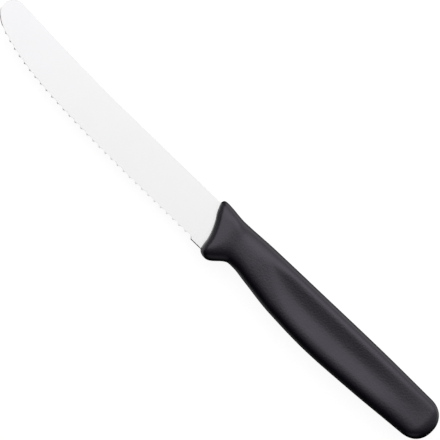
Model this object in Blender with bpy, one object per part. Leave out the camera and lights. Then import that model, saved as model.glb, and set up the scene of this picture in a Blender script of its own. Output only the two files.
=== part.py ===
"""A table knife: a serrated stainless blade whose tang is locked inside a moulded handle.

The knife lies on its side. +X runs from the blade's tip to the butt, +Y from the cutting edge to
the back, and +Z up. While it is being drawn, x = 0 is the handle's lower front corner, y = 0 its
centre line and z = 0 the middle of the blade; at the end both pieces move together, so that the
origin is under the middle of the whole knife, on the surface it lies on.
"""

import math

import bmesh
import bpy
from mathutils import Vector

MM = 0.001

# Blade
BLADE_LENGTH = 110 * MM  # handle's lower front corner to the tip
BLADE_BACK = 4.6 * MM  # centre line to the straight part of the back
BLADE_DEPTH = 11.65 * MM  # centre line to the tooth points at the handle
BLADE_THICKNESS = 1.2 * MM  # at the back, beside the handle
BLADE_TIP_THICKNESS = 0.95 * MM  # at the back, beside the tip
GRIND_THICKNESS = 0.42 * MM  # where the edge's own bevel begins
EDGE_THICKNESS = 0.08 * MM
BEVEL_WIDTH = 0.45 * MM
TIP_RADIUS = 4.8 * MM
TIP_RISE = 1.95 * MM  # the back sweeps up by this towards the tip
RISE_LENGTH = 55 * MM
BELLY_REACH = 46 * MM  # how long the edge stays nearly straight from the heel
TIP_REACH = 15.25 * MM  # how long it keeps the tip's slant
TIP_SLANT = math.radians(43)
TIP_FACET = math.radians(4)  # half the angle left flat at the very tip

# Serrations
TOOTH_PITCH = 3.03 * MM
TOOTH_DEPTH = 0.68 * MM
SHALLOW_GAPS = 2  # the gaps beside the tip that are cut less deep
HEEL_LENGTH = 5.0 * MM  # plain edge beside the handle
HEEL_DROP = 0.5 * MM  # the plain heel stands this far below the teeth
PLAIN_TIP = 4.6 * MM  # plain edge between the tip's end and the first tooth

# Tang
ROOT_LENGTH = 2.5 * MM  # full-height steel inside the handle
ROOT_CHAMFER = 2.4 * MM
TANG_BACK = 3.0 * MM  # centre line to the tang's upper side
TANG_HEIGHT = 8 * MM
TANG_END_COVER = 27 * MM  # handle left behind the tang
TANG_CORNER = 2 * MM
HOLE_RADIUS = 2 * MM
HOLE_INSET = 16 * MM  # from each end of the tang to its hole
CLEARANCE = 0.3 * MM

# Handle
HANDLE_LENGTH = 104 * MM  # lower front corner to the butt
HANDLE_THICKNESS = 12 * MM
HORN_REACH = 5.87 * MM  # how far the upper front corner leans over the blade
HORN_BACK = 6.3 * MM  # centre line to the back, at the horn
NECK_BACK = 5.58 * MM
CROWN_BACK = 6.6 * MM
BUTT_BACK = 6.35 * MM
GUARD_DEPTH = 13.5 * MM  # centre line down to the guard's lobe
NECK_DEPTH = 8.98 * MM
BELLY_DEPTH = 12.42 * MM
BUTT_DEPTH = 9.77 * MM
LOBE_LENGTH = 3.3 * MM  # rounded front of the lobe, along the knife
LOBE_HEIGHT = 2.2 * MM
LOBE_FALL = (3.6 * MM, 11.2 * MM)  # the lobe's lowest place, and where it has run into the neck
BUTT_ROUND = 8.1 * MM  # length of the butt's round end
BUTT_FULLNESS = (2.1, 2.35)  # at the back and at the belly: 2 is an ellipse, and more is squarer

# Rounding of the handle's edges: each width is seen from the side, and fullness works as above
FRONT_ROLL = 2.9 * MM
BUTT_ROLLS = (4.0 * MM, 6.6 * MM)  # at the back and at the belly
BACK_ROLLS = (4.5 * MM, 7.9 * MM, 3.1 * MM)  # at the guard, the neck and the body
BELLY_ROLLS = (5.6 * MM, 11.0 * MM, 6.7 * MM, 7.3 * MM)  # and at the butt
FRONT_ROLL_FULLNESS = 2.6
BUTT_ROLL_FULLNESS = 2.5
BACK_ROLL_FULLNESS = 3.2
BELLY_ROLL_FULLNESS = 3.9

# Each side's relief: a guard that thins to the front, a dipped neck, a long finger dish, and a
# butt that thins to its end
GUARD_SLOPE = 0.2
GUARD_RIDGE = 3.7 * MM
GUARD_SOFTNESS = 0.8 * MM
NECK_DIP = 0.2 * MM
DISH_BACK_SLOPE = 0.125
DISH_BELLY_SLOPE = 0.13
DISH_BACK_INSET = 3.15 * MM  # from the back to the dish's upper crest
DISH_BELLY_INSETS = ((19 * MM, 12.3 * MM), (26 * MM, 8.6 * MM), (32 * MM, 6.3 * MM),
                     (38 * MM, 5.0 * MM), (46 * MM, 4.8 * MM))  # from the belly to the lower one
DISH_SOFTNESS = 0.2 * MM
CREST_SOFTNESS = 0.05 * MM
DISH_START = (13 * MM, 18 * MM)
DISH_FADE = ((70 * MM, 1.0), (80 * MM, 0.8), (88 * MM, 0.5), (93 * MM, 0.32), (99.6 * MM, 0.0))
BACK_FALL = 0.12  # slope from the upper crest out to the back's rounding
BACK_FALL_START = (29 * MM, 38 * MM)
BACK_FALL_SOFTNESS = 0.3 * MM
TAPER = 0.5 * MM
TAPER_RUN = ((79 * MM, 0.0), (84 * MM, 0.1), (96.3 * MM, 0.94), (97.9 * MM, 1.0))
LAND_TRIM = 0.1 * MM  # the crests are flattened by this, which leaves flats to rest on
BACK_LAND = (2.7 * MM, 3.5 * MM)  # where those flats lie, from the back and from the belly
BELLY_LAND = (4.2 * MM, 5.1 * MM)

# Mesh density
TOOTH_STEPS = 4
TIP_STEPS = 14
ROLL_STEPS = 6
DISH_ROWS = 13
FRONT_RIM = 3 * MM  # the sections stand closer together within these
BUTT_RIM = 5 * MM
GUARD_COLUMNS = 11
BODY_COLUMNS = 30
ROUND_STEPS = 20


def clamp(value, low=0.0, high=1.0):
    return max(low, min(high, value))


def between(low, high, share):
    return low + (high - low) * share


def ease(value):
    """0 to 1 with a level start and end."""
    value = clamp(value)
    return (1 - math.cos(math.pi * value)) / 2


def smooth(points, x):
    """The height at x of a smooth curve through points, which are (x, height) pairs in order."""
    points = list(points)
    if x <= points[0][0]:
        return points[0][1]
    if x >= points[-1][0]:
        return points[-1][1]
    slopes = [(b[1] - a[1]) / (b[0] - a[0]) for a, b in zip(points, points[1:])]
    tangents = [slopes[0]]
    for before, after in zip(slopes, slopes[1:]):
        same_way = before * after > 0
        tangents.append(2 * before * after / (before + after) if same_way else 0.0)
    tangents.append(slopes[-1])
    place = max(i for i, point in enumerate(points[:-1]) if point[0] <= x)
    (x0, y0), (x1, y1) = points[place], points[place + 1]
    span = x1 - x0
    t = (x - x0) / span
    return (
        (2 * t**3 - 3 * t**2 + 1) * y0
        + (t**3 - 2 * t**2 + t) * span * tangents[place]
        + (3 * t**2 - 2 * t**3) * y1
        + (t**3 - t**2) * span * tangents[place + 1]
    )


def bezier(start, toward_start, toward_end, end, t):
    s = 1 - t
    return s**3 * start + 3 * s**2 * t * toward_start + 3 * s * t**2 * toward_end + t**3 * end


def curve_through(points, steps):
    """Points along a smooth curve through the given ones, steps to each stretch."""
    points = [Vector(point) for point in points]
    padded = [2 * points[0] - points[1], *points, 2 * points[-1] - points[-2]]
    found = [points[0]]
    for before, start, end, after in zip(padded, padded[1:], padded[2:], padded[3:]):
        for step in range(1, steps + 1):
            leave = start + (end - before) / 6
            arrive = end - (after - start) / 6
            found.append(bezier(start, leave, arrive, end, step / steps))
    return found


def at_share(path, share):
    """The point that lies a share of the way along a path of points."""
    lengths = [(b - a).length for a, b in zip(path, path[1:])]
    left = share * sum(lengths)
    for start, end, length in zip(path, path[1:], lengths):
        if left <= length:
            return start.lerp(end, left / length)
        left -= length
    return path[-1]


def at_x(path, x):
    """The point of a path at x, where the path runs towards -X throughout."""
    for start, end in zip(path, path[1:]):
        if end.x <= x <= start.x:
            return start.lerp(end, (start.x - x) / (start.x - end.x))
    return path[0] if x > path[0].x else path[-1]


def new_object(name, bm, parent, material=None):
    bmesh.ops.recalc_face_normals(bm, faces=bm.faces)
    mesh = bpy.data.meshes.new(name)
    bm.to_mesh(mesh)
    bm.free()
    obj = bpy.data.objects.new(name, mesh)
    bpy.context.scene.collection.objects.link(obj)
    obj.parent = parent
    if material:
        mesh.materials.append(material)
    else:
        obj.hide_render = True
        obj.display_type = "WIRE"
    return obj


def plate(name, outline, half_thickness, parent):
    """A helper: the outline, raised to the same height above and below z = 0."""
    bm = bmesh.new()
    face = bm.faces.new([bm.verts.new((x, y, -half_thickness)) for x, y in outline])
    raised = bmesh.ops.extrude_face_region(bm, geom=[face])
    new_verts = [item for item in raised["geom"] if isinstance(item, bmesh.types.BMVert)]
    bmesh.ops.translate(bm, verts=new_verts, vec=(0, 0, 2 * half_thickness))
    return new_object(name, bm, parent)


def disc_outline(x, y, radius):
    turn = 2 * math.pi / ROUND_STEPS
    return [
        (x + radius * math.cos(i * turn), y + radius * math.sin(i * turn))
        for i in range(ROUND_STEPS)
    ]


def boolean(obj, other, operation):
    modifier = obj.modifiers.new(f"{operation.title()} {other.name}", "BOOLEAN")
    modifier.operation = operation
    modifier.solver = "EXACT"
    modifier.object = other


def material_of(name, color, metallic, roughness):
    material = bpy.data.materials.new(name)
    material.use_nodes = True
    shader = material.node_tree.nodes["Principled BSDF"]
    shader.inputs["Base Color"].default_value = (*color, 1)
    shader.inputs["Metallic"].default_value = metallic
    shader.inputs["Roughness"].default_value = roughness
    return material


# Blade

TIP_CENTRE = Vector(
    (TIP_RADIUS * math.cos(TIP_FACET) - BLADE_LENGTH, BLADE_BACK + TIP_RISE - TIP_RADIUS)
)


def back_at(x):
    """Height of the blade's back, up to the tip's round."""
    swept = clamp((RISE_LENGTH - BLADE_LENGTH - x) / (RISE_LENGTH - TIP_RADIUS))
    return BLADE_BACK + TIP_RISE * swept**1.5


def edge_line(t):
    """The line through the tooth points, from the heel (t = 0) to the tip's round (t = 1)."""
    leaving = Vector((-math.cos(TIP_SLANT), math.sin(TIP_SLANT)))
    start = Vector((-HEEL_LENGTH, -BLADE_DEPTH))
    end = TIP_CENTRE + TIP_RADIUS * Vector((-math.sin(TIP_SLANT), -math.cos(TIP_SLANT)))
    return bezier(start, start - Vector((BELLY_REACH, 0)), end - TIP_REACH * leaving, end, t)


def edge_points():
    """The edge's toothed part, one arc for each tooth gap, and its plain part by the tip."""
    fine = [edge_line(i / 400) for i in range(401)]
    toothed = BLADE_LENGTH - HEEL_LENGTH - PLAIN_TIP
    gaps = max(1, round(toothed / TOOTH_PITCH))
    points = []
    for gap in range(gaps):
        depth = TOOTH_DEPTH * clamp((gaps - gap) / SHALLOW_GAPS)
        for step in range(TOOTH_STEPS):
            x = -HEEL_LENGTH - (gap + step / TOOTH_STEPS) * toothed / gaps
            ahead, behind = at_x(fine, x - TOOTH_PITCH / 4), at_x(fine, x + TOOTH_PITCH / 4)
            inward = (behind - ahead).orthogonal().normalized()
            lift = 1 - (2 * step / TOOTH_STEPS - 1) ** 2
            points.append(at_x(fine, x) + inward * depth * lift)
    first_tooth = PLAIN_TIP - BLADE_LENGTH
    return points + [at_x(fine, first_tooth)], [p for p in fine[::8] if p.x < first_tooth]


def half_thickness_at(x, y):
    """Half the blade's thickness: both sides are flat, and lean together to the edge and the tip."""
    to_tip = (BLADE_THICKNESS - BLADE_TIP_THICKNESS) / (2 * BLADE_LENGTH)
    to_edge = (BLADE_THICKNESS - GRIND_THICKNESS) / (2 * (BLADE_BACK + BLADE_DEPTH))
    return BLADE_THICKNESS / 2 + to_tip * x - to_edge * (BLADE_BACK - y)


def tip_arc(start, end):
    """Points on the tip's round, from the start angle to the end angle."""
    angles = [between(start, end, step / ROUND_STEPS) for step in range(ROUND_STEPS + 1)]
    return [TIP_CENTRE + TIP_RADIUS * Vector((math.cos(a), math.sin(a))) for a in angles]


def blade_sections():
    """(back point, edge point) pairs from the root to the tip, which ends in a short facet."""
    heel = -BLADE_DEPTH - HEEL_DROP
    heel_corners = [
        (ROOT_LENGTH, heel + ROOT_CHAMFER),
        (ROOT_LENGTH - ROOT_CHAMFER, heel),
        (BEVEL_WIDTH - HEEL_LENGTH, heel),
    ]
    toothed, plain = edge_points()
    lower = [Vector(corner) for corner in heel_corners] + toothed
    sections = [(Vector((point.x, back_at(point.x))), point) for point in lower]
    tip_back = [sections[-1][0], *tip_arc(math.pi / 2, math.pi - TIP_FACET)]
    tip_edge = [*lower[-1:], *plain, *tip_arc(math.pi * 1.5 - TIP_SLANT, math.pi + TIP_FACET)]
    for step in range(1, TIP_STEPS + 1):
        share = step / TIP_STEPS
        sections.append((at_share(tip_back, share), at_share(tip_edge, share)))
    return sections


def blade_mesh():
    """Five corners to a section: back, bevel line and edge above, then edge and back below."""
    sections = blade_sections()
    bm = bmesh.new()
    rings = []
    for back, edge in sections:
        bevel = edge + (back - edge).normalized() * BEVEL_WIDTH
        under_edge = -half_thickness_at(*edge)
        corners = (
            (*back, half_thickness_at(*back)),
            (*bevel, half_thickness_at(*bevel)),
            (*edge, under_edge + EDGE_THICKNESS),
            (*edge, under_edge),
            (*back, -half_thickness_at(*back)),
        )
        rings.append([bm.verts.new(corner) for corner in corners])
    for ring, following in zip(rings, rings[1:]):
        for i in range(len(ring)):
            following_i = (i + 1) % len(ring)
            bm.faces.new((ring[i], ring[following_i], following[following_i], following[i]))
    bm.faces.new(rings[0])
    bm.faces.new(rings[-1])
    return bm


def tang_end():
    return HANDLE_LENGTH - TANG_END_COVER


def tang_outline(grow):
    """The tang with its rounded end, larger all round by grow, from inside the root."""
    top, bottom = TANG_BACK + grow, TANG_BACK - TANG_HEIGHT - grow
    end = tang_end() + grow
    corner = TANG_CORNER + grow
    outline = [(0.0, bottom)]
    for centre_y, start in ((bottom + corner, -math.pi / 2), (top - corner, 0.0)):
        for step in range(5):
            angle = start + step * math.pi / 8
            outline.append(
                (end - corner + corner * math.cos(angle), centre_y + corner * math.sin(angle))
            )
    outline.append((0.0, top))
    return outline


def hole_centres():
    middle = TANG_BACK - TANG_HEIGHT / 2
    return [(HOLE_INSET, middle), (tang_end() - HOLE_INSET, middle)]


def make_blade(parent):
    steel = material_of("stainless_steel", (0.78, 0.78, 0.79), 1.0, 0.28)
    blade = new_object("blade", blade_mesh(), parent, steel)
    boolean(blade, plate("tang_plate", tang_outline(0), BLADE_THICKNESS / 2, parent), "UNION")
    for x, y in hole_centres():
        drill = plate("tang_hole", disc_outline(x, y, HOLE_RADIUS), BLADE_THICKNESS, parent)
        boolean(blade, drill, "DIFFERENCE")
    return blade


# Handle

def scaled(*pairs):
    """(share of the handle's length, height) pairs as (x, height)."""
    return [(share * HANDLE_LENGTH, height) for share, height in pairs]


BACK_LINE = [(-share * HORN_REACH, height) for share, height in (
    (0.946, HORN_BACK - 0.42 * MM),
    (0.78, HORN_BACK - 0.04 * MM),
    (0.62, HORN_BACK),
    (0.32, between(HORN_BACK, NECK_BACK, 0.14)),
)] + scaled(
    (0.049, NECK_BACK),
    (0.184, between(NECK_BACK, CROWN_BACK, 0.5)),
    (0.42, between(NECK_BACK, CROWN_BACK, 0.78)),
    (0.69, CROWN_BACK),
    (0.918, BUTT_BACK),
)
BELLY_LINE = [(LOBE_FALL[1], NECK_DEPTH)] + scaled(
    (0.125, NECK_DEPTH),
    (0.184, between(NECK_DEPTH, BELLY_DEPTH, 0.235)),
    (0.319, between(NECK_DEPTH, BELLY_DEPTH, 0.78)),
    (0.487, BELLY_DEPTH),
    (0.69, between(BUTT_DEPTH, BELLY_DEPTH, 0.655)),
    (0.918, BUTT_DEPTH),
    (1.0, between(BUTT_DEPTH, BELLY_DEPTH, -0.2)),
)


def butt_round(x, fullness):
    """1 along the handle, falling to 0 at the butt."""
    within = clamp((x - HANDLE_LENGTH + BUTT_ROUND) / BUTT_ROUND)
    return (1 - within**fullness) ** (1 / fullness)


def outline_at(x):
    """(back, belly): the heights of the handle's two long sides at x."""
    back = smooth(BACK_LINE, x)
    lowest, fallen = LOBE_FALL
    if x < fallen:
        lobe = GUARD_DEPTH
        if x < LOBE_LENGTH:
            lobe -= LOBE_HEIGHT * (1 - math.sqrt(1 - clamp(1 - x / LOBE_LENGTH) ** 2))
        belly = between(lobe, NECK_DEPTH, ease((x - lowest) / (fallen - lowest)))
    else:
        belly = smooth(BELLY_LINE, x)
    middle = (back - belly) / 2
    half = (back + belly) / 2
    at_back, at_belly = BUTT_FULLNESS
    return middle + half * butt_round(x, at_back), middle - half * butt_round(x, at_belly)


def front_edge():
    """The handle's front, from the lobe's round up to the horn."""
    centre_y = LOBE_HEIGHT - GUARD_DEPTH
    height = HORN_BACK - 1.4 * MM - centre_y
    lobe = [
        (LOBE_LENGTH * (1 - math.sin(angle)), centre_y - LOBE_HEIGHT * math.cos(angle))
        for angle in (math.pi / 4, math.pi / 3, 5 * math.pi / 12)
    ]
    lean = [
        (-HORN_REACH * reach, centre_y + height * rise)
        for reach, rise in (
            (0.0, 0.0), (0.05, 0.1), (0.112, 0.255), (0.257, 0.42), (0.508, 0.615),
            (0.782, 0.78), (0.94, 0.915), (1.0, 0.99),
        )
    ]
    corner_x = -0.946 * HORN_REACH
    return curve_through([*lobe, *lean, (corner_x, outline_at(corner_x)[0])], 4)


def butt_edge():
    """The butt's end, from its belly shoulder up to its back shoulder."""
    shoulder = math.pi / 4
    found = []
    for side, fullness in zip((1, -1), BUTT_FULLNESS):
        power = 2 / fullness
        shoulder_x = HANDLE_LENGTH - BUTT_ROUND * (1 - math.cos(shoulder) ** power)
        back, belly = smooth(BACK_LINE, shoulder_x), smooth(BELLY_LINE, shoulder_x)
        points = []
        for step in range(21):
            turn = shoulder * step / 20
            x = HANDLE_LENGTH - BUTT_ROUND * (1 - math.cos(turn) ** power)
            lift = (back + belly) / 2 * math.sin(turn) ** power
            points.append(Vector((x, (back - belly) / 2 + side * lift)))
        found = points if side > 0 else points[:0:-1] + found
    return found


def rolled(distance, width, fullness):
    """Share of the full height at a distance from an edge that is rounded over a width."""
    return (1 - (1 - clamp(distance / width)) ** fullness) ** (1 / fullness)


def roll_widths(x):
    guard, neck, body = BACK_ROLLS
    back = smooth(scaled((0.02, guard), (0.085, neck), (0.11, neck), (0.33, body)), x)
    guard, neck, body, butt = BELLY_ROLLS
    belly = smooth(scaled((0.012, guard), (0.055, neck), (0.14, neck), (0.42, body),
                          (0.7, body), (0.92, butt)), x)
    return back, belly


def softened(value, softness):
    """The value above 0, and 0 below it, with a rounded corner."""
    return softness * math.log1p(math.exp(value / softness))


def dish_depth(x, y, top, bottom):
    """Depth of the finger dish: a valley between two crests, and the fall outside the upper one."""
    crest_back = top - DISH_BACK_INSET
    crest_belly = bottom + smooth(DISH_BELLY_INSETS, x)
    flanks = ((crest_back - y) * DISH_BACK_SLOPE, (y - crest_belly) * DISH_BELLY_SLOPE)
    valley = -DISH_SOFTNESS * math.log(sum(math.exp(-depth / DISH_SOFTNESS) for depth in flanks))
    start, full = DISH_START
    valley = softened(valley, CREST_SOFTNESS) * ease((x - start) / (full - start))
    start, full = BACK_FALL_START
    fall = BACK_FALL * softened(y - crest_back, BACK_FALL_SOFTNESS)
    fall *= ease((x - start) / (full - start))
    return (valley + fall) * smooth(DISH_FADE, x)


def quarter_steps():
    """From 0 to 1, close together at first."""
    return [1 - math.cos(step / ROLL_STEPS * math.pi / 2) for step in range(ROLL_STEPS + 1)]


def column_places():
    """Shares of the handle's length at which its sections are drawn."""
    length = HANDLE_LENGTH
    front = [FRONT_RIM * step for step in quarter_steps()]
    neck = LOBE_FALL[1]
    guard = [between(FRONT_RIM, neck, i / GUARD_COLUMNS) for i in range(1, GUARD_COLUMNS)]
    body_end = length - BUTT_RIM
    body = [between(neck, body_end, i / BODY_COLUMNS) for i in range(BODY_COLUMNS)]
    butt = [length - BUTT_RIM * step for step in reversed(quarter_steps())]
    return [place / length for place in front + guard + body + butt]


def row_shares(x):
    """Shares of the way from belly to back at which a section has its points."""
    top, bottom = outline_at(x)
    height = top - bottom
    low = [BELLY_LAND[0] * step for step in quarter_steps()]
    high = [height - BACK_LAND[0] * step for step in reversed(quarter_steps())]
    start, end = BELLY_LAND[1], height - BACK_LAND[1]
    dish = [between(start, end, i / DISH_ROWS) for i in range(DISH_ROWS + 1)]
    return [place / height for place in low + dish + high]


def handle_half():
    """Rows of points (x, y, z) over the handle's upper half, one list for each section."""
    front, butt = front_edge(), butt_edge()
    grid = []
    for s in column_places():
        ends = []
        for start, end, side in ((front[0], butt[0], 1), (front[-1], butt[-1], 0)):
            x = between(start.x, end.x, s)
            ends.append(Vector((x, outline_at(x)[side])))
        shares = row_shares(between(ends[0].x, ends[1].x, 0.5) if s < 0.5 else ends[0].x)
        front_pull, butt_pull = clamp(1 - 6 * s) ** 2, clamp(1 - 6 * (1 - s)) ** 2
        column = []
        for t in shares:
            front_point, butt_point = at_share(front, t), at_share(butt, t)
            point = ends[0].lerp(ends[1], t)
            point += front_pull * (front_point - front[0].lerp(front[-1], t))
            point += butt_pull * (butt_point - butt[0].lerp(butt[-1], t))
            column.append((*point, height_at(point, front_point, butt_point, t, s)))
        grid.append(column)
    return grid


def height_at(point, front_point, butt_point, t, s):
    """Height of the handle's side at a point, above the middle of the blade."""
    if t <= 0 or t >= 1 or s <= 0 or s >= 1:
        return 0.0
    top, bottom = outline_at(point.x)
    back_roll, belly_roll = roll_widths(point.x)
    share = rolled(t * (top - bottom), belly_roll, BELLY_ROLL_FULLNESS)
    share *= rolled((1 - t) * (top - bottom), back_roll, BACK_ROLL_FULLNESS)
    share *= rolled(point.x - front_point.x, FRONT_ROLL, FRONT_ROLL_FULLNESS)
    share *= rolled(butt_point.x - point.x, between(*BUTT_ROLLS, 1 - t), BUTT_ROLL_FULLNESS)
    along = HANDLE_LENGTH - (butt_point.x - point.x)  # so that the relief follows the round end
    sunk = dish_depth(along, point.y, top, bottom)
    before_ridge = (GUARD_RIDGE - point.x) / GUARD_SOFTNESS
    sunk += GUARD_SLOPE * GUARD_SOFTNESS * math.log1p(math.exp(before_ridge - 1))
    along_neck = (point.x - GUARD_RIDGE) / LOBE_FALL[1]
    sunk += NECK_DIP * ease(along_neck * 2) * (1 - ease(along_neck - 0.5))
    sunk += TAPER * smooth(TAPER_RUN, along)
    half_thickness = HANDLE_THICKNESS / 2
    return min(half_thickness, (half_thickness + LAND_TRIM - sunk) * share)


def handle_mesh():
    bm = bmesh.new()
    grid = handle_half()
    halves = []
    for side in (1, -1):
        verts = []
        for i, column in enumerate(grid):
            row = []
            for j, (x, y, z) in enumerate(column):
                on_rim = i in (0, len(grid) - 1) or j in (0, len(column) - 1)
                if on_rim and side < 0:
                    row.append(halves[0][i][j])
                else:
                    row.append(bm.verts.new((x, y, side * z)))
            verts.append(row)
        halves.append(verts)
        for near, far in zip(verts, verts[1:]):
            for j in range(len(near) - 1):
                bm.faces.new((near[j], near[j + 1], far[j + 1], far[j]))
    return bm


def slot_outline():
    """Room for the root at the handle's front, open towards the blade."""
    top = BLADE_BACK + CLEARANCE
    bottom = -BLADE_DEPTH - HEEL_DROP - CLEARANCE
    end = ROOT_LENGTH + CLEARANCE
    start = -HORN_REACH - 5 * MM
    return [
        (start, bottom),
        (end - ROOT_CHAMFER, bottom),
        (end, bottom + ROOT_CHAMFER),
        (end, top),
        (start, top),
    ]


def make_handle(parent):
    plastic = material_of("handle_plastic", (0.03, 0.03, 0.034), 0.0, 0.55)
    handle = new_object("handle", handle_mesh(), parent, plastic)
    half_slot = BLADE_THICKNESS / 2 + CLEARANCE
    root_slot = plate("root_slot", slot_outline(), half_slot, parent)
    tang_slot = plate("tang_slot", tang_outline(CLEARANCE), half_slot, parent)
    for x, y in hole_centres():
        peg = plate("peg", disc_outline(x, y, HOLE_RADIUS - CLEARANCE), 2 * half_slot, parent)
        boolean(tang_slot, peg, "DIFFERENCE")
    boolean(handle, root_slot, "DIFFERENCE")
    boolean(handle, tang_slot, "DIFFERENCE")
    return handle


def main():
    for obj in list(bpy.data.objects):
        bpy.data.objects.remove(obj, do_unlink=True)
    knife = bpy.data.objects.new("knife", None)
    bpy.context.scene.collection.objects.link(knife)
    pieces = [make_blade(knife), make_handle(knife)]
    corners = [vert.co for piece in pieces for vert in piece.data.vertices]
    low = [min(corner[i] for corner in corners) for i in range(3)]
    high = [max(corner[i] for corner in corners) for i in range(3)]
    knife.location = (-(low[0] + high[0]) / 2, -(low[1] + high[1]) / 2, -low[2])
    for piece in pieces:
        piece.data.shade_smooth()
        piece.data.set_sharp_from_angle(angle=math.radians(30))


main()
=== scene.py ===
"""The looks of the table knife: a satin stainless blade in a fine-grained black plastic handle."""

import math

import bmesh
import bpy
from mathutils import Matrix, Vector

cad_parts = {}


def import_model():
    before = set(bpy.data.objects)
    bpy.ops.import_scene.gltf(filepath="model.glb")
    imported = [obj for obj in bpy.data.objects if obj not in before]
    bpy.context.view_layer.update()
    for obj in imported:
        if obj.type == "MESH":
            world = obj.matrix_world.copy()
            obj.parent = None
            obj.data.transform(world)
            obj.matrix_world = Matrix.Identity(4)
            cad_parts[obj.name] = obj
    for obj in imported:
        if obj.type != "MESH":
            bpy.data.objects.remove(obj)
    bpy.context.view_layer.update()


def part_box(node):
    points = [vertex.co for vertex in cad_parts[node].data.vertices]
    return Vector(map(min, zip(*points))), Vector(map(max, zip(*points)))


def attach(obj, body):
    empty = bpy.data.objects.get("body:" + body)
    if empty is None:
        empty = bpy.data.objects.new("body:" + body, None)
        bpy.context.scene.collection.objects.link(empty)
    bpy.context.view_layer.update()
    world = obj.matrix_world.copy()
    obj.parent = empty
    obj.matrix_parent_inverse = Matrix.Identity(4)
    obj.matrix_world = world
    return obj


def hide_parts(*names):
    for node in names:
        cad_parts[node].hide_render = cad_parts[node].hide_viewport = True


MM = 0.001

# The photograph, taken straight down on to the knife's side
FACING = math.radians(44)  # how far the knife is turned in it
PICTURE_WIDTH = 440  # pixels
PIXEL = 0.3538 * MM  # what one pixel shows of the knife
PICTURE_MIDDLE = -5.4 * PIXEL  # the picture's middle, from the handle's lower front corner

# Blade, as in the construction
BLADE_LENGTH = 110 * MM  # handle's lower front corner to the tip
BLADE_BACK = 4.6 * MM  # centre line to the straight part of the back
BLADE_DEPTH = 11.65 * MM  # centre line to the tooth points at the handle
BLADE_THICKNESS = 1.2 * MM  # at the back, beside the handle
BLADE_TIP_THICKNESS = 0.95 * MM  # at the back, beside the tip
GRIND_THICKNESS = 0.42 * MM  # where the edge's own bevel begins
TIP_RADIUS = 4.8 * MM
TIP_RISE = 1.95 * MM  # the back sweeps up by this towards the tip
RISE_LENGTH = 55 * MM
BELLY_REACH = 46 * MM  # how long the edge stays nearly straight from the heel
TIP_REACH = 15.25 * MM  # how long it keeps the tip's slant
TIP_SLANT = math.radians(43)
BEVEL_WIDTH = 0.45 * MM  # along the teeth
TOOTH_PITCH = 3.03 * MM
TOOTH_DEPTH = 0.68 * MM
SHALLOW_GAPS = 2  # the gaps beside the tip that are cut less deep
HEEL_LENGTH = 5.0 * MM  # plain edge beside the handle
HEEL_DROP = 0.5 * MM  # the plain heel stands this far below the teeth
PLAIN_TIP = 4.6 * MM  # plain edge between the tip's end and the first tooth
ROOT_LENGTH = 2.5 * MM  # full-height steel inside the handle
ROOT_CHAMFER = 2.4 * MM
TANG_BACK = 3.0 * MM  # centre line to the tang's upper side
TANG_HEIGHT = 8 * MM
TANG_END_COVER = 27 * MM  # handle left behind the tang
TANG_CORNER = 2 * MM
HOLE_RADIUS = 2 * MM
HOLE_INSET = 16 * MM  # from each end of the tang to its hole

# Handle, as in the construction
HANDLE_LENGTH = 104 * MM  # lower front corner to the butt
HANDLE_THICKNESS = 12 * MM
HORN_REACH = 5.87 * MM  # how far the upper front corner leans over the blade
HORN_BACK = 6.3 * MM  # centre line to the back, at the horn
HORN_CORNER = 1.4 * MM  # height of the horn's rounded corner
HORN_DROPS = (0.42 * MM, 0.04 * MM)  # how far the back falls away at the horn's corner
NECK_BACK = 5.58 * MM
CROWN_BACK = 6.6 * MM
BUTT_BACK = 6.35 * MM
GUARD_DEPTH = 13.5 * MM  # centre line down to the guard's lobe
NECK_DEPTH = 8.98 * MM
BELLY_DEPTH = 12.42 * MM
BUTT_DEPTH = 9.77 * MM
LOBE_LENGTH = 3.3 * MM  # rounded front of the lobe, along the knife
LOBE_HEIGHT = 2.2 * MM
LOBE_FALL = (3.6 * MM, 11.2 * MM)  # the lobe's lowest place, and where it has run into the neck
BUTT_ROUND = 8.1 * MM  # length of the butt's round end
BUTT_FULLNESS = (2.1, 2.35)  # at the back and at the belly: 2 is an ellipse, and more is squarer

# Rounding of the handle's edges: each width is seen from the side, and fullness works as above
FRONT_ROLL = 2.9 * MM
BUTT_ROLLS = (4.0 * MM, 6.6 * MM)  # at the back and at the belly
BACK_ROLLS = (4.5 * MM, 7.9 * MM, 3.1 * MM)  # at the guard, the neck and the body
BELLY_ROLLS = (5.6 * MM, 11.0 * MM, 6.7 * MM, 7.3 * MM)  # and at the butt
FRONT_ROLL_FULLNESS = 2.6
BUTT_ROLL_FULLNESS = 2.5
BACK_ROLL_FULLNESS = 3.2
BELLY_ROLL_FULLNESS = 3.9

# Each side's relief: a guard that thins to the front, a dipped neck, a finger dish, a thin butt
GUARD_SLOPE = 0.2
GUARD_RIDGE = 3.7 * MM
GUARD_SOFTNESS = 0.8 * MM
NECK_DIP = 0.2 * MM
DISH_BACK_SLOPE = 0.125
DISH_BELLY_SLOPE = 0.13
DISH_BACK_INSET = 3.15 * MM  # from the back to the dish's upper crest
DISH_BELLY_INSETS = ((19 * MM, 12.3 * MM), (26 * MM, 8.6 * MM), (32 * MM, 6.3 * MM),
                     (38 * MM, 5.0 * MM), (46 * MM, 4.8 * MM))  # from the belly to the lower one
DISH_SOFTNESS = 0.2 * MM
CREST_SOFTNESS = 0.05 * MM
DISH_START = (13 * MM, 18 * MM)
DISH_FADE = ((70 * MM, 1.0), (80 * MM, 0.8), (88 * MM, 0.5), (93 * MM, 0.32), (99.6 * MM, 0.0))
BACK_FALL = 0.12  # slope from the upper crest out to the back's rounding
BACK_FALL_START = (29 * MM, 38 * MM)
BACK_FALL_SOFTNESS = 0.3 * MM
TAPER = 0.5 * MM  # how much lower the surface lies at the butt
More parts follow.
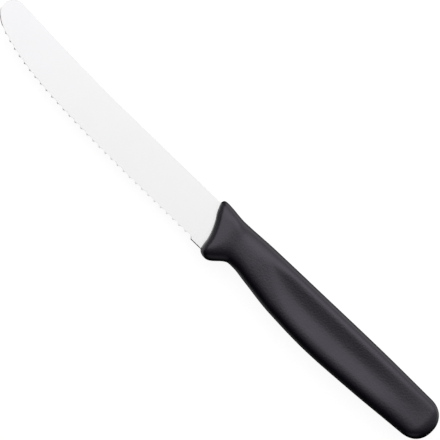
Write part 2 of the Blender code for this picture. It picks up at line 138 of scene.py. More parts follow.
TAPER_RUN = ((79 * MM, 0.0), (84 * MM, 0.1), (96.3 * MM, 0.94), (97.9 * MM, 1.0))

# What is finer or closer than in the construction
TIP_FACET = math.radians(1)  # half the angle left flat at the very tip
CREST_LIFT = 0.06 * MM  # brings the softened crests back up to the handle's thickness
FIT = 0.02 * MM  # the moulding hugs the steel this closely
SLOT_OVERRUN = 5 * MM  # how far the cutter for the blade's slot stands out of the handle
BACK_ROUND = 0.05 * MM  # rounding along the blade's back
EDGE_THICKNESS = 0.03 * MM
PLAIN_BEVEL_WIDTH = 0.3 * MM  # along the heel and the tip
BEVEL_MARGIN = 0.05 * MM  # the least that is left of the bevel above a tooth gap
BEVEL_FADE_GAPS = 4  # the gaps beside the tip over which the bevel narrows
BEVEL_END_SHARE = 1 / 4  # last part of the tip, in which the bevel runs out
TIP_SLOPE_SHARE = 1 / 6  # first part of the tip, in which the bevel takes the tip's slope
HEEL_BEVEL_SLOPE = 0.6
TIP_BEVEL_SLOPE = 0.3
TOOTH_BEVEL_SLOPES = (0.07, 0.25)  # by the heel, and by the tip

# Edges that bend by more than this are drawn sharp
BLADE_SHARP = math.radians(0.6)
HANDLE_SHARP = math.radians(28)

# Plastic: patches in its sheen and its surface, a speckle in its colour, and the mould's grain
PLASTIC_IOR = 1.57
PLASTIC_SHEEN = (0.92, 0.85, 1.0, 1)  # tints what it reflects
PLASTIC_COLOURS = ((0.0008, 0.0004, 0.0018), (0.0033, 0.0023, 0.0049))
PATCH_SIZE = 7 * MM
PATCH_HEIGHT = 0.02 * MM
PATCH_ROUGHNESS = (-0.04, 0.058)  # what a patch takes from the roughness or adds to it
RUBBED_HEIGHTS = (4.5 * MM, HANDLE_THICKNESS / 2)
RUBBED_ROUGHNESS = (0.32, 0.3)  # at those heights from the middle plane
SPECKLE_SIZE = 0.5 * MM
GRAIN_SIZE = 0.7 * MM
GRAIN_HEIGHT = 0.045 * MM

# Steel: haze in large patches, fine lines ground across the blade, and wider bands of them
STEEL_COLOURS_WITH_PAINTED_LIGHT = ((0.751, 0.75, 0.764), (0.778, 0.777, 0.777))  # at the tip and at the handle; the change between them is painted light, which sets how bright the blade's reflection is at each end
HAZE_SIZE = 16 * MM
HAZE_ROUGHNESS = (0.276, 0.32)  # under 0.274 the denoiser draws a line round each patch
LINE_SIZE = 0.3 * MM
LINE_STRETCH = (1, 40, 4)  # along the blade, across it and through it
BAND_SIZE = 1.8 * MM
BAND_STRETCH = (1, 14, 3)
GRIND_HEIGHT = 0.003 * MM

# Soft lights: degrees from straight up, and clockwise from the picture's top, reach, strength
STUDIO_LIGHTS = (
    (0, 0, 50, 0.2),
    (32, 0, 50, 1.85),
    (90, 44, 50, 1.08),
    (125, 44, 50, 0.2),
    (45, 90, 50, 0.6),
    (85, 100, 50, 0.36),
    (60, -46, 50, 0.15),
    (95, -46, 50, 0.3),
    (120, -90, 50, 0.6),
    (75, 180, 30, 0.3),
    (120, 92, 28, 0.8),
)

# Floor and camera
FLOOR_REACH = 3
FLOOR_DROP = 0.08 * MM  # room left under the knife
FLOOR_COLOUR = 0.14
FLOOR_GLOW = 0.92  # with its colour, this brings the lit floor to a pale white
CAMERA_HEIGHT = 1.6
CAMERA_SENSOR = 36  # in millimetres, as Blender takes it
CAMERA_RANGE = 20

# Mesh density
EDGE_LINE_STEPS = 400
TOOTH_STEPS = 16
TIP_STEPS = 48
CORNER_STEPS = 8
ROUND_STEPS = 32
FRONT_EDGE_STEPS = 8
BUTT_EDGE_STEPS = 30
ROLL_STEPS = 16
SIDE_RIM = 4.5 * MM  # the sections stand closer together within these
FRONT_RIM = 3 * MM
BUTT_RIM = 5 * MM
DISH_ROWS = 40
GUARD_COLUMNS = 26
BODY_COLUMNS = 110
END_REACH = 1 / 6  # share of the handle's length over which the shape of each end fades out


def clamp(value, low=0.0, high=1.0):
    return max(low, min(high, value))


def between(low, high, share):
    return low + (high - low) * share


def ease(value):
    """A share from 0 to 1 that sets off and arrives gently."""
    value = clamp(value)
    return (1 - math.cos(math.pi * value)) / 2


def smooth(points, x):
    """The height at x of a smooth curve through points, which are (x, height) pairs in order."""
    points = list(points)
    if x <= points[0][0]:
        return points[0][1]
    if x >= points[-1][0]:
        return points[-1][1]
    slopes = [(b[1] - a[1]) / (b[0] - a[0]) for a, b in zip(points, points[1:])]
    tangents = [slopes[0]]
    for before, after in zip(slopes, slopes[1:]):
        same_way = before * after > 0
        tangents.append(2 * before * after / (before + after) if same_way else 0.0)
    tangents.append(slopes[-1])
    place = max(i for i, point in enumerate(points[:-1]) if point[0] <= x)
    (x0, y0), (x1, y1) = points[place], points[place + 1]
    span = x1 - x0
    t = (x - x0) / span
    return (
        (2 * t**3 - 3 * t**2 + 1) * y0
        + (t**3 - 2 * t**2 + t) * span * tangents[place]
        + (3 * t**2 - 2 * t**3) * y1
        + (t**3 - t**2) * span * tangents[place + 1]
    )


def bezier(start, toward_start, toward_end, end, t):
    """The point at share t of a cubic curve."""
    s = 1 - t
    return s**3 * start + 3 * s**2 * t * toward_start + 3 * s * t**2 * toward_end + t**3 * end


def curve_through(points, steps):
    """Points along a smooth curve through the given ones, steps to each stretch."""
    points = [Vector(point) for point in points]
    padded = [2 * points[0] - points[1], *points, 2 * points[-1] - points[-2]]
    found = [points[0]]
    for before, start, end, after in zip(padded, padded[1:], padded[2:], padded[3:]):
        for step in range(1, steps + 1):
            leave = start + (end - before) / 6
            arrive = end - (after - start) / 6
            found.append(bezier(start, leave, arrive, end, step / steps))
    return found


class Path:
    """A line through points, read by the share of its length or by x."""

    def __init__(self, points):
        self.points = [Vector(point) for point in points]
        self.starts = [0.0]
        for a, b in zip(self.points, self.points[1:]):
            self.starts.append(self.starts[-1] + (b - a).length)

    def at_share(self, share):
        along = clamp(share) * self.starts[-1]
        low, high = 0, len(self.points) - 1
        while high - low > 1:
            middle = (low + high) // 2
            if self.starts[middle] <= along:
                low = middle
            else:
                high = middle
        span = self.starts[high] - self.starts[low]
        return self.points[low].lerp(self.points[high], (along - self.starts[low]) / span)

    def at_x(self, x):
        for start, end in zip(self.points, self.points[1:]):
            if end.x <= x <= start.x:
                return start.lerp(end, (start.x - x) / (start.x - end.x))
        return self.points[0] if x > self.points[0].x else self.points[-1]


def new_object(name, bm, shift):
    """An object of the mesh, moved from where it was drawn to its place in the frame."""
    bmesh.ops.recalc_face_normals(bm, faces=bm.faces)
    bmesh.ops.translate(bm, verts=bm.verts, vec=shift)
    mesh = bpy.data.meshes.new(name)
    bm.to_mesh(mesh)
    bm.free()
    obj = bpy.data.objects.new(name, mesh)
    bpy.context.scene.collection.objects.link(obj)
    return obj


def plate(name, outline, half_thickness, shift):
    """A flat plate that lies in the knife's middle plane."""
    bm = bmesh.new()
    face = bm.faces.new([bm.verts.new((x, y, -half_thickness)) for x, y in outline])
    raised = bmesh.ops.extrude_face_region(bm, geom=[face])
    new_verts = [item for item in raised["geom"] if isinstance(item, bmesh.types.BMVert)]
    bmesh.ops.translate(bm, verts=new_verts, vec=(0, 0, 2 * half_thickness))
    return new_object(name, bm, shift)


def combine(obj, other, operation):
    """Joins or cuts obj with other, applies it to the mesh and deletes other."""
    modifier = obj.modifiers.new(operation, "BOOLEAN")
    modifier.operation = operation
    modifier.solver = "EXACT"
    modifier.object = other
    graph = bpy.context.evaluated_depsgraph_get()
    mesh = bpy.data.meshes.new_from_object(obj.evaluated_get(graph))
    obj.modifiers.clear()
    old = obj.data
    obj.data = mesh
    bpy.data.meshes.remove(old)
    bpy.data.objects.remove(other, do_unlink=True)


# Blade

TIP_CENTRE = Vector(
    (TIP_RADIUS * math.cos(TIP_FACET) - BLADE_LENGTH, BLADE_BACK + TIP_RISE - TIP_RADIUS)
)


def back_at(x):
    """The height of the blade's back at x."""
    swept = clamp((RISE_LENGTH - BLADE_LENGTH - x) / (RISE_LENGTH - TIP_RADIUS))
    return BLADE_BACK + TIP_RISE * swept**1.5


def edge_line(t):
    """The line of the tooth points, from the heel at t = 0 to the round tip at t = 1."""
    leaving = Vector((-math.cos(TIP_SLANT), math.sin(TIP_SLANT)))
    start = Vector((-HEEL_LENGTH, -BLADE_DEPTH))
    end = TIP_CENTRE + TIP_RADIUS * Vector((-math.sin(TIP_SLANT), -math.cos(TIP_SLANT)))
    return bezier(start, start - Vector((BELLY_REACH, 0)), end - TIP_REACH * leaving, end, t)


def tip_arc(start, end):
    """Points of the tip's round end between two angles."""
    angles = [between(start, end, step / ROUND_STEPS) for step in range(ROUND_STEPS + 1)]
    return [TIP_CENTRE + TIP_RADIUS * Vector((math.cos(a), math.sin(a))) for a in angles]


def half_thickness_at(x, y):
    """Half the thickness of the blade, whose sides lean together to the edge and to the tip."""
    to_tip = (BLADE_THICKNESS - BLADE_TIP_THICKNESS) / (2 * BLADE_LENGTH)
    to_edge = (BLADE_THICKNESS - GRIND_THICKNESS) / (2 * (BLADE_BACK + BLADE_DEPTH))
    return BLADE_THICKNESS / 2 + to_tip * x - to_edge * (BLADE_BACK - y)


def blade_sections():
    """(back point, bevel point, edge point, bevel slope) from the root to the tip.

    The bevel's line runs smoothly past the teeth, and each gap is ground through it.
    """
    heel = -BLADE_DEPTH - HEEL_DROP
    corners = [
        (ROOT_LENGTH, heel + ROOT_CHAMFER),
        (ROOT_LENGTH - ROOT_CHAMFER, heel),
        (PLAIN_BEVEL_WIDTH - HEEL_LENGTH, heel),
    ]
    sections = []
    for x, y in corners:
        bevel = Vector((x, y + PLAIN_BEVEL_WIDTH))
        sections.append((Vector((x, BLADE_BACK)), bevel, Vector((x, y)), HEEL_BEVEL_SLOPE))
    line = Path([edge_line(i / EDGE_LINE_STEPS) for i in range(EDGE_LINE_STEPS + 1)])
    toothed = BLADE_LENGTH - HEEL_LENGTH - PLAIN_TIP
    gaps = max(1, round(toothed / TOOTH_PITCH))
    steps = gaps * TOOTH_STEPS
    for i in range(steps + 1):
        gap, phase = divmod(i / TOOTH_STEPS, 1)
        x = -HEEL_LENGTH - toothed * i / steps
        ahead, behind = line.at_x(x - TOOTH_PITCH / 4), line.at_x(x + TOOTH_PITCH / 4)
        inward = (behind - ahead).orthogonal().normalized()
        depth = TOOTH_DEPTH * clamp((gaps - gap) / SHALLOW_GAPS)
        lift = depth * (1 - (2 * phase - 1) ** 2)
        point = line.at_x(x)
        edge = point + inward * lift
        width = between(PLAIN_BEVEL_WIDTH, BEVEL_WIDTH, clamp((gaps - gap) / BEVEL_FADE_GAPS))
        bevel = point + inward * max(width, lift + BEVEL_MARGIN)
        slope = between(*TOOTH_BEVEL_SLOPES, (i / steps) ** 2)
        sections.append((Vector((edge.x, back_at(edge.x))), bevel, edge, slope))
    first = sections[-1]
    plain = [p for p in line.points[::4] if p.x < PLAIN_TIP - BLADE_LENGTH]
    turned = math.asin(clamp((TIP_CENTRE.x - first[0].x) / TIP_RADIUS))
    tip_back = Path([first[0], *tip_arc(math.pi / 2 + turned, math.pi - TIP_FACET)])
    tip_edge = Path([first[2], *plain, *tip_arc(math.pi * 1.5 - TIP_SLANT, math.pi + TIP_FACET)])
    for step in range(1, TIP_STEPS + 1):
        share = step / TIP_STEPS
        back, edge = tip_back.at_share(share), tip_edge.at_share(share)
        width = PLAIN_BEVEL_WIDTH * clamp((1 - share) / BEVEL_END_SHARE)
        toward = (back - edge).normalized()
        bevel = edge + toward * max(width, EDGE_THICKNESS)
        slope = between(TOOTH_BEVEL_SLOPES[1], TIP_BEVEL_SLOPE, clamp(share / TIP_SLOPE_SHARE))
        sections.append((back, bevel, edge, slope))
    return sections


def blade_mesh():
    """The blade as far as its root: rings of seven points, each joined to the next."""
    bm = bmesh.new()
    rings = []
    for back, bevel, edge, slope in blade_sections():
        inner = back + (edge - back).normalized() * BACK_ROUND
        thick = half_thickness_at(*back)
        under = -half_thickness_at(*edge)
        ground = half_thickness_at(*edge) - slope * (bevel - edge).length
        edge_top = max(under + EDGE_THICKNESS, ground)
        corners = [
            (*inner, half_thickness_at(*inner)),
            (*bevel, half_thickness_at(*bevel)),
            (*edge, edge_top),
            (*edge, under),
            (*inner, -half_thickness_at(*inner)),
            (*back, -thick + BACK_ROUND),
            (*back, thick - BACK_ROUND),
        ]
        rings.append([bm.verts.new(corner) for corner in corners])
    for ring, following in zip(rings, rings[1:]):
        for i in range(len(ring)):
            j = (i + 1) % len(ring)
            bm.faces.new((ring[i], ring[j], following[j], following[i]))
    bm.faces.new(rings[0])
    bm.faces.new(rings[-1])
    return bm


def tang_end():
    return HANDLE_LENGTH - TANG_END_COVER


def tang_outline(grow):
    """The tang, or with grow the larger slot that it lies in."""
    top, bottom = TANG_BACK + grow, TANG_BACK - TANG_HEIGHT - grow
    end = tang_end() + grow
    corner = TANG_CORNER + grow
    outline = [(0.0, bottom)]
    for centre_y, start in ((bottom + corner, -math.pi / 2), (top - corner, 0.0)):
        for step in range(CORNER_STEPS + 1):
            angle = start + step * math.pi / 2 / CORNER_STEPS
            outline.append(
                (end - corner + corner * math.cos(angle), centre_y + corner * math.sin(angle))
            )
    outline.append((0.0, top))
    return outline


def disc_outline(x, y, radius):
    turn = 2 * math.pi / ROUND_STEPS
    return [
        (x + radius * math.cos(i * turn), y + radius * math.sin(i * turn))
        for i in range(ROUND_STEPS)
    ]


def hole_centres():
    middle = TANG_BACK - TANG_HEIGHT / 2
    return [(HOLE_INSET, middle), (tang_end() - HOLE_INSET, middle)]


def make_blade(shift):
    blade = new_object("blade_steel", blade_mesh(), shift)
    tang = plate("tang", tang_outline(0), BLADE_THICKNESS / 2, shift)
    combine(blade, tang, "UNION")
    for x, y in hole_centres():
        drill = plate("drill", disc_outline(x, y, HOLE_RADIUS), BLADE_THICKNESS, shift)
        combine(blade, drill, "DIFFERENCE")
    return blade


# Handle

def scaled(*pairs):
    """(x, height) pairs from ones that give x as a share of the handle's length."""
    return [(share * HANDLE_LENGTH, height) for share, height in pairs]


def butt_round(x, fullness):
    """The share of the handle's height that is left at x by the round of the butt."""
    within = clamp((x - HANDLE_LENGTH + BUTT_ROUND) / BUTT_ROUND)
    return (1 - within**fullness) ** (1 / fullness)


BACK_LINE = [(-share * HORN_REACH, height) for share, height in (
    (0.946, HORN_BACK - HORN_DROPS[0]),
    (0.78, HORN_BACK - HORN_DROPS[1]),
    (0.62, HORN_BACK),
    (0.32, between(HORN_BACK, NECK_BACK, 0.14)),
)] + scaled(
    (0.049, NECK_BACK),
    (0.184, between(NECK_BACK, CROWN_BACK, 0.5)),
    (0.42, between(NECK_BACK, CROWN_BACK, 0.78)),
    (0.69, CROWN_BACK),
    (0.918, BUTT_BACK),
)
BELLY_LINE = [(LOBE_FALL[1], NECK_DEPTH)] + scaled(
    (0.125, NECK_DEPTH),
    (0.184, between(NECK_DEPTH, BELLY_DEPTH, 0.235)),
    (0.319, between(NECK_DEPTH, BELLY_DEPTH, 0.78)),
    (0.487, BELLY_DEPTH),
    (0.69, between(BUTT_DEPTH, BELLY_DEPTH, 0.655)),
    (0.918, BUTT_DEPTH),
    (1.0, between(BUTT_DEPTH, BELLY_DEPTH, -0.2)),
)


def outline_at(x):
    """(back, belly): the heights of the handle's two long sides at x."""
    back = smooth(BACK_LINE, x)
    if x < LOBE_FALL[1]:
        lobe = GUARD_DEPTH
        if x < LOBE_LENGTH:
            lobe -= LOBE_HEIGHT * (1 - math.sqrt(1 - clamp(1 - x / LOBE_LENGTH) ** 2))
        belly = between(lobe, NECK_DEPTH, ease((x - LOBE_FALL[0]) / (LOBE_FALL[1] - LOBE_FALL[0])))
    else:
        belly = smooth(BELLY_LINE, x)
    middle = (back - belly) / 2
    half = (back + belly) / 2
    at_back, at_belly = BUTT_FULLNESS
    return middle + half * butt_round(x, at_back), middle - half * butt_round(x, at_belly)


def front_edge():
    """The hollow front of the guard, from its lobe to the horn."""
    centre_y = LOBE_HEIGHT - GUARD_DEPTH
    height = HORN_BACK - HORN_CORNER - centre_y
    lobe = [
        (LOBE_LENGTH * (1 - math.sin(angle)), centre_y - LOBE_HEIGHT * math.cos(angle))
        for angle in (math.pi / 4, math.pi / 3, 5 * math.pi / 12)
    ]
    lean = [
        (-HORN_REACH * reach, centre_y + height * rise)
        for reach, rise in (
            (0.0, 0.0), (0.05, 0.1), (0.112, 0.255), (0.257, 0.42), (0.508, 0.615),
            (0.782, 0.78), (0.94, 0.915), (1.0, 0.99),
        )
    ]
    corner_x = -0.946 * HORN_REACH
    corner = (corner_x, outline_at(corner_x)[0])
    return curve_through([*lobe, *lean, corner], FRONT_EDGE_STEPS)


def butt_edge():
    """The round end, from its belly corner to its back corner."""
    corner = math.pi / 4
    found = []
    for side, fullness in zip((1, -1), BUTT_FULLNESS):
        power = 2 / fullness
        corner_x = HANDLE_LENGTH - BUTT_ROUND * (1 - math.cos(corner) ** power)
        middle = -(smooth(BELLY_LINE, corner_x) - smooth(BACK_LINE, corner_x)) / 2
        half = (smooth(BELLY_LINE, corner_x) + smooth(BACK_LINE, corner_x)) / 2
        points = []
        for step in range(BUTT_EDGE_STEPS + 1):
            turn = corner * step / BUTT_EDGE_STEPS
            x = HANDLE_LENGTH - BUTT_ROUND * (1 - math.cos(turn) ** power)
            points.append(Vector((x, middle + side * half * math.sin(turn) ** power)))
        found = points if side > 0 else points[:0:-1] + found
    return found


def rolled(distance, width, power):
    """The share of the full height at a distance from the edge of a rounding."""
    return (1 - (1 - clamp(distance / width)) ** power) ** (1 / power)


def roll_widths(x):
    """The widths of the rounding along the back and along the belly at x."""
    guard, neck, body = BACK_ROLLS
    back = smooth(scaled((0.02, guard), (0.085, neck), (0.11, neck), (0.33, body)), x)
    guard, neck, body, butt = BELLY_ROLLS
    belly = smooth(scaled((0.012, guard), (0.055, neck), (0.14, neck), (0.42, body),
                          (0.7, body), (0.92, butt)), x)
    return back, belly


def softened(value, softness):
    """The value above 0, and 0 below it, with a rounded corner."""
    return softness * math.log1p(math.exp(value / softness))


def dish_depth(x, y, top, bottom):
    """A valley between two crests, of which the lower one sets out from the neck's back."""
    crest_back = top - DISH_BACK_INSET
    crest_belly = bottom + smooth(DISH_BELLY_INSETS, x)
    flanks = ((crest_back - y) * DISH_BACK_SLOPE, (y - crest_belly) * DISH_BELLY_SLOPE)
    valley = -DISH_SOFTNESS * math.log(sum(math.exp(-depth / DISH_SOFTNESS) for depth in flanks))
    opened = ease((x - DISH_START[0]) / (DISH_START[1] - DISH_START[0]))
    start, full = BACK_FALL_START
    fall = BACK_FALL * softened(y - crest_back, BACK_FALL_SOFTNESS)
    fall *= ease((x - start) / (full - start))
    return (softened(valley, CREST_SOFTNESS) * opened + fall) * smooth(DISH_FADE, x)


def quarter_steps():
    """Shares of a roll's width, close together at the rim."""
    return [1 - math.cos(step / ROLL_STEPS * math.pi / 2) for step in range(ROLL_STEPS + 1)]


def column_places():
    """Shares of the handle's length, close together at both ends."""
    length = HANDLE_LENGTH
    front = [FRONT_RIM * step for step in quarter_steps()]
    guard = [between(FRONT_RIM, LOBE_FALL[1], i / GUARD_COLUMNS) for i in range(1, GUARD_COLUMNS)]
    body_end = length - BUTT_RIM
    body = [between(LOBE_FALL[1], body_end, i / BODY_COLUMNS) for i in range(BODY_COLUMNS)]
    butt = [length - BUTT_RIM * step for step in reversed(quarter_steps())]
    return [place / length for place in front + guard + body + butt]


def row_shares(x):
    """Shares of the handle's height at x, close together at both sides."""
    top, bottom = outline_at(x)
    height = top - bottom
    rim = min(SIDE_RIM, height / 3)
    low = [rim * step for step in quarter_steps()]
    high = [height - rim * step for step in reversed(quarter_steps())]
    dish = [between(rim, height - rim, i / DISH_ROWS) for i in range(1, DISH_ROWS)]
    return [place / height for place in low + dish + high]


def handle_half():
    """Columns of (x, y, height) points over one half of the handle."""
    front, butt = Path(front_edge()), Path(butt_edge())
    grid = []
    for s in column_places():
        ends = []
        for start, end, side in (
            (front.points[0], butt.points[0], 1), (front.points[-1], butt.points[-1], 0)
        ):
            x = between(start.x, end.x, s)
            ends.append(Vector((x, outline_at(x)[side])))
        shares = row_shares(between(ends[0].x, ends[1].x, 0.5) if s < 0.5 else ends[0].x)
        front_pull = clamp(1 - s / END_REACH) ** 2
        butt_pull = clamp(1 - (1 - s) / END_REACH) ** 2
        column = []
        for t in shares:
            front_point, butt_point = front.at_share(t), butt.at_share(t)
            point = ends[0].lerp(ends[1], t)
            point += front_pull * (front_point - front.points[0].lerp(front.points[-1], t))
            point += butt_pull * (butt_point - butt.points[0].lerp(butt.points[-1], t))
            height = HANDLE_THICKNESS / 2 * height_share(point, front_point, butt_point, t, s)
            column.append((point.x, point.y, height))
        grid.append(column)
    return grid


def height_share(point, front_point, butt_point, t, s):
    """The surface's height over a point, as a share of half the handle's thickness."""
    if t <= 0 or t >= 1 or s <= 0 or s >= 1:
        return 0.0
    top, bottom = outline_at(point.x)
    back_roll, belly_roll = roll_widths(point.x)
    full = HANDLE_THICKNESS / 2
    behind_front = point.x - front_point.x
    height = rolled(t * (top - bottom), belly_roll, BELLY_ROLL_FULLNESS)
    height *= rolled((1 - t) * (top - bottom), back_roll, BACK_ROLL_FULLNESS)
    height *= rolled(behind_front, FRONT_ROLL, FRONT_ROLL_FULLNESS)
    height *= rolled(butt_point.x - point.x, between(*BUTT_ROLLS, 1 - t), BUTT_ROLL_FULLNESS)
    along = HANDLE_LENGTH - (butt_point.x - point.x)
    sunk = dish_depth(along, point.y, top, bottom)
    before_ridge = (GUARD_RIDGE - point.x) / GUARD_SOFTNESS
    sunk += GUARD_SLOPE * GUARD_SOFTNESS * math.log1p(math.exp(before_ridge - 1))
    along_neck = (point.x - GUARD_RIDGE) / LOBE_FALL[1]
    sunk += NECK_DIP * ease(along_neck * 2) * (1 - ease(along_neck - 0.5))
    sunk += TAPER * smooth(TAPER_RUN, along)
    return height * (1 - (sunk - CREST_LIFT) / full)


def handle_mesh():
    """Both halves of the handle, which share the points of their rim."""
    bm = bmesh.new()
    grid = handle_half()
    halves = []
    for side in (1, -1):
        verts = []
        for i, column in enumerate(grid):
            row = []
            for j, (x, y, z) in enumerate(column):
                on_rim = i in (0, len(grid) - 1) or j in (0, len(column) - 1)
                if on_rim and side < 0:
                    row.append(halves[0][i][j])
                else:
                    row.append(bm.verts.new((x, y, side * z)))
            verts.append(row)
        halves.append(verts)
        for near, far in zip(verts, verts[1:]):
            for j in range(len(near) - 1):
                bm.faces.new((near[j], near[j + 1], far[j + 1], far[j]))
    return bm


def slot_outline():
    """The slot in which the blade's root lies, open to the front."""
    top = BLADE_BACK + FIT
    bottom = -BLADE_DEPTH - HEEL_DROP - FIT
    end = ROOT_LENGTH + FIT
    start = -HORN_REACH - SLOT_OVERRUN
    return [
        (start, bottom),
        (end - ROOT_CHAMFER, bottom),
        (end, bottom + ROOT_CHAMFER),
        (end, top),
        (start, top),
    ]


def make_handle(shift):
    handle = new_object("handle_plastic", handle_mesh(), shift)
    half_slot = BLADE_THICKNESS / 2 + FIT
    combine(handle, plate("root_slot", slot_outline(), half_slot, shift), "DIFFERENCE")
    tang_slot = plate("tang_slot", tang_outline(FIT), half_slot, shift)
    for x, y in hole_centres():
        peg = plate("peg", disc_outline(x, y, HOLE_RADIUS - FIT), 2 * half_slot, shift)
        combine(tang_slot, peg, "DIFFERENCE")
    combine(handle, tang_slot, "DIFFERENCE")
    return handle


# Materials

def node_material(name):
    """A new material with its node tree and its shader."""
    material = bpy.data.materials.new(name)
    material.use_nodes = True
    tree = material.node_tree
    shader = tree.nodes["Principled BSDF"]
    return material, tree, shader


def link(tree, output, socket):
    tree.links.new(output, socket)


def computed(tree, operation, first, second=0.0):
    """The result of a math node. Each value is a number or another node's output."""
    node = tree.nodes.new("ShaderNodeMath")
    node.operation = operation
    for socket, value in zip(node.inputs, (first, second)):
        if isinstance(value, bpy.types.NodeSocket):
            link(tree, value, socket)
        else:
            socket.default_value = value
    return node.outputs[0]


def noise(tree, size, detail, stretch=(1, 1, 1)):
    """Noise whose grains are about size across, drawn out by stretch along each axis."""
    coords = tree.nodes.new("ShaderNodeTexCoord")
    mapping = tree.nodes.new("ShaderNodeMapping")
    mapping.vector_type = "TEXTURE"
    mapping.inputs["Scale"].default_value = [size * factor for factor in stretch]
    link(tree, coords.outputs["Object"], mapping.inputs["Vector"])
    texture = tree.nodes.new("ShaderNodeTexNoise")
    texture.inputs["Scale"].default_value = 1.0
    texture.inputs["Detail"].default_value = detail
    link(tree, mapping.outputs["Vector"], texture.inputs["Vector"])
    return texture.outputs["Fac"]


def ranged(tree, value, low, high, weak, strong):
    """The value's stretch from low to high, as one from weak to strong."""
    node = tree.nodes.new("ShaderNodeMapRange")
    names = ("From Min", "From Max", "To Min", "To Max")
    for name, number in zip(names, (low, high, weak, strong)):
        node.inputs[name].default_value = number
    link(tree, value, node.inputs["Value"])
    return node.outputs["Result"]


def tinted(tree, value, weak, strong):
    """A colour that goes from weak to strong as the value goes from 0 to 1."""
    node = tree.nodes.new("ShaderNodeMix")
    node.data_type = "RGBA"
    node.inputs["A"].default_value = (*weak, 1)
    node.inputs["B"].default_value = (*strong, 1)
    link(tree, value, node.inputs["Factor"])
    return node.outputs["Result"]


def bumped(tree, height, distance, normal=None):
    """The normal of a surface that stands up to distance high, on top of another normal."""
    node = tree.nodes.new("ShaderNodeBump")
    node.inputs["Distance"].default_value = distance
    link(tree, height, node.inputs["Height"])
    if normal:
        link(tree, normal, node.inputs["Normal"])
    return node.outputs["Normal"]


def place_along(tree, axis):
    """The place of the surface along one axis of the knife."""
    coords = tree.nodes.new("ShaderNodeTexCoord")
    place = tree.nodes.new("ShaderNodeSeparateXYZ")
    link(tree, coords.outputs["Object"], place.inputs["Vector"])
    return place.outputs[axis]


def plastic_material():
    """Black plastic with the fine grain of its mould, rubbed smoother where it stands proud."""
    material, tree, shader = node_material("handle_plastic")
    shader.inputs["IOR"].default_value = PLASTIC_IOR
    shader.inputs["Specular Tint"].default_value = PLASTIC_SHEEN
    patches = noise(tree, PATCH_SIZE, 2)
    uneven = ranged(tree, patches, 0, 1, *PATCH_ROUGHNESS)
    height = computed(tree, "SUBTRACT", place_along(tree, "Z"), HANDLE_THICKNESS / 2)
    proud = computed(tree, "ABSOLUTE", height)
    rubbed = ranged(tree, proud, *RUBBED_HEIGHTS, *RUBBED_ROUGHNESS)
    link(tree, computed(tree, "ADD", uneven, rubbed), shader.inputs["Roughness"])
    speckle = ranged(tree, noise(tree, SPECKLE_SIZE, 2), 0.3, 0.7, 0, 1)
    colour = tinted(tree, speckle, *PLASTIC_COLOURS)
    link(tree, colour, shader.inputs["Base Color"])
    wavy = bumped(tree, patches, PATCH_HEIGHT)
    grain = bumped(tree, noise(tree, GRAIN_SIZE, 2), GRAIN_HEIGHT, wavy)
    link(tree, grain, shader.inputs["Normal"])
    return material


def steel_material():
    """Satin stainless steel, ground in fine lines across the blade."""
    material, tree, shader = node_material("stainless_steel")
    shader.inputs["Metallic"].default_value = 1.0
    haze = ranged(tree, noise(tree, HAZE_SIZE, 1), 0, 1, *HAZE_ROUGHNESS)
    link(tree, haze, shader.inputs["Roughness"])
    # Painted light: the blade's colour shifts from the tip to the handle to set how bright its
    # reflection is at each end; the steel itself is the same all along
    along = ranged(tree, place_along(tree, "X"), -BLADE_LENGTH, 0, 0, 1)
    colour = tinted(tree, along, *STEEL_COLOURS_WITH_PAINTED_LIGHT)
    link(tree, colour, shader.inputs["Base Color"])
    lines = bumped(tree, noise(tree, LINE_SIZE, 3, LINE_STRETCH), GRIND_HEIGHT)
    bands = bumped(tree, noise(tree, BAND_SIZE, 1, BAND_STRETCH), GRIND_HEIGHT, lines)
    link(tree, bands, shader.inputs["Normal"])
    return material


# Surroundings

def make_world():
    """Soft lights all round, seen by everything but the camera, which sees white."""
    world = bpy.data.worlds.new("studio")
    bpy.context.scene.world = world
    world.use_nodes = True
    tree = world.node_tree
    tree.nodes.clear()
    out = tree.nodes.new("ShaderNodeOutputWorld")
    coords = tree.nodes.new("ShaderNodeTexCoord")
    top = Vector((-math.sin(FACING), math.cos(FACING), 0))
    right = Vector((math.cos(FACING), math.sin(FACING), 0))
    total = 0.0
    for *angles, strength in STUDIO_LIGHTS:
        tilt, turn, spread = (math.radians(angle) for angle in angles)
        level = math.cos(turn) * top + math.sin(turn) * right
        dot = tree.nodes.new("ShaderNodeVectorMath")
        dot.operation = "DOT_PRODUCT"
        dot.inputs[1].default_value = math.sin(tilt) * level + Vector((0, 0, math.cos(tilt)))
        link(tree, coords.outputs["Generated"], dot.inputs[0])
        glow = tree.nodes.new("ShaderNodeMapRange")
        glow.interpolation_type = "SMOOTHSTEP"
        glow.inputs["From Min"].default_value = math.cos(spread)
        glow.inputs["To Max"].default_value = strength
        link(tree, dot.outputs["Value"], glow.inputs["Value"])
        total = computed(tree, "ADD", total, glow.outputs["Result"])
    studio = tree.nodes.new("ShaderNodeBackground")
    studio.inputs["Color"].default_value = (1, 1, 1, 1)
    link(tree, total, studio.inputs["Strength"])
    white = tree.nodes.new("ShaderNodeBackground")
    white.inputs["Color"].default_value = (1, 1, 1, 1)
    white.inputs["Strength"].default_value = 1.0
    path = tree.nodes.new("ShaderNodeLightPath")
    mix = tree.nodes.new("ShaderNodeMixShader")
    link(tree, path.outputs["Is Camera Ray"], mix.inputs[0])
    link(tree, studio.outputs[0], mix.inputs[1])
    link(tree, white.outputs[0], mix.inputs[2])
    link(tree, mix.outputs[0], out.inputs["Surface"])


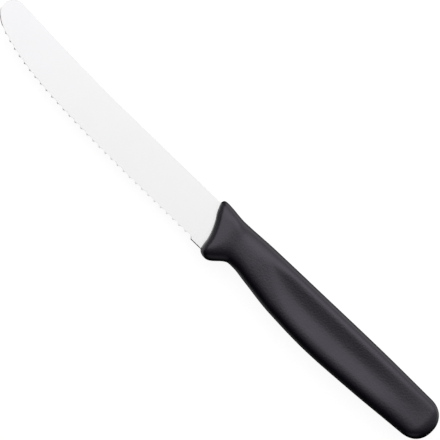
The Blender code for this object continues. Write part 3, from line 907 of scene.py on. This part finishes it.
def make_floor():
    """A pale floor that holds the knife's shadow, and that only the camera sees."""
    bm = bmesh.new()
    bmesh.ops.create_grid(bm, x_segments=1, y_segments=1, size=FLOOR_REACH)
    floor = new_object("floor", bm, Vector((0, 0, -FLOOR_DROP)))
    material, tree, shader = node_material("floor")
    out = next(node for node in tree.nodes if node.type == "OUTPUT_MATERIAL")
    shader.inputs["Base Color"].default_value = (FLOOR_COLOUR, FLOOR_COLOUR, FLOOR_COLOUR, 1)
    shader.inputs["Roughness"].default_value = 1.0
    shader.inputs["Specular IOR Level"].default_value = 0.0
    shader.inputs["Emission Color"].default_value = (1, 1, 1, 1)
    shader.inputs["Emission Strength"].default_value = FLOOR_GLOW
    clear = tree.nodes.new("ShaderNodeBsdfTransparent")
    path = tree.nodes.new("ShaderNodeLightPath")
    mix = tree.nodes.new("ShaderNodeMixShader")
    link(tree, path.outputs["Is Camera Ray"], mix.inputs[0])
    link(tree, clear.outputs[0], mix.inputs[1])
    link(tree, shader.outputs[0], mix.inputs[2])
    link(tree, mix.outputs[0], out.inputs["Surface"])
    floor.data.materials.append(material)


def make_camera(middle):
    """A camera straight above the picture's middle, turned as the photograph's is."""
    camera = bpy.data.objects.new("camera", bpy.data.cameras.new("camera"))
    bpy.context.scene.collection.objects.link(camera)
    view = PICTURE_WIDTH * PIXEL
    camera.data.sensor_width = CAMERA_SENSOR
    camera.data.lens = CAMERA_SENSOR * (CAMERA_HEIGHT - HANDLE_THICKNESS / 2) / view
    camera.data.clip_end = CAMERA_RANGE
    camera.location = (middle.x, middle.y, CAMERA_HEIGHT)
    camera.rotation_euler = (0, 0, FACING)
    bpy.context.scene.camera = camera


def main():
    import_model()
    scene = bpy.context.scene
    scene.view_settings.view_transform = "Standard"
    blade_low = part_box("blade")[0]
    handle_low, handle_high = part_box("handle")
    shift = Vector((
        blade_low[0] + BLADE_LENGTH,
        handle_low[1] + GUARD_DEPTH,
        (handle_low[2] + handle_high[2]) / 2,
    ))
    blade, handle = make_blade(shift), make_handle(shift)
    for piece, node, slot, material, sharp in (
        (blade, "blade", "stainless_steel", steel_material(), BLADE_SHARP),
        (handle, "handle", "handle_plastic", plastic_material(), HANDLE_SHARP),
    ):
        piece.data.materials.clear()
        piece.data.materials.append(material)
        piece.data.shade_smooth()
        piece.data.set_sharp_from_angle(angle=sharp)
        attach(piece, "root")
        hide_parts(node)
    make_world()
    make_floor()
    make_camera(shift + Vector((PICTURE_MIDDLE, 0, 0)))


main()
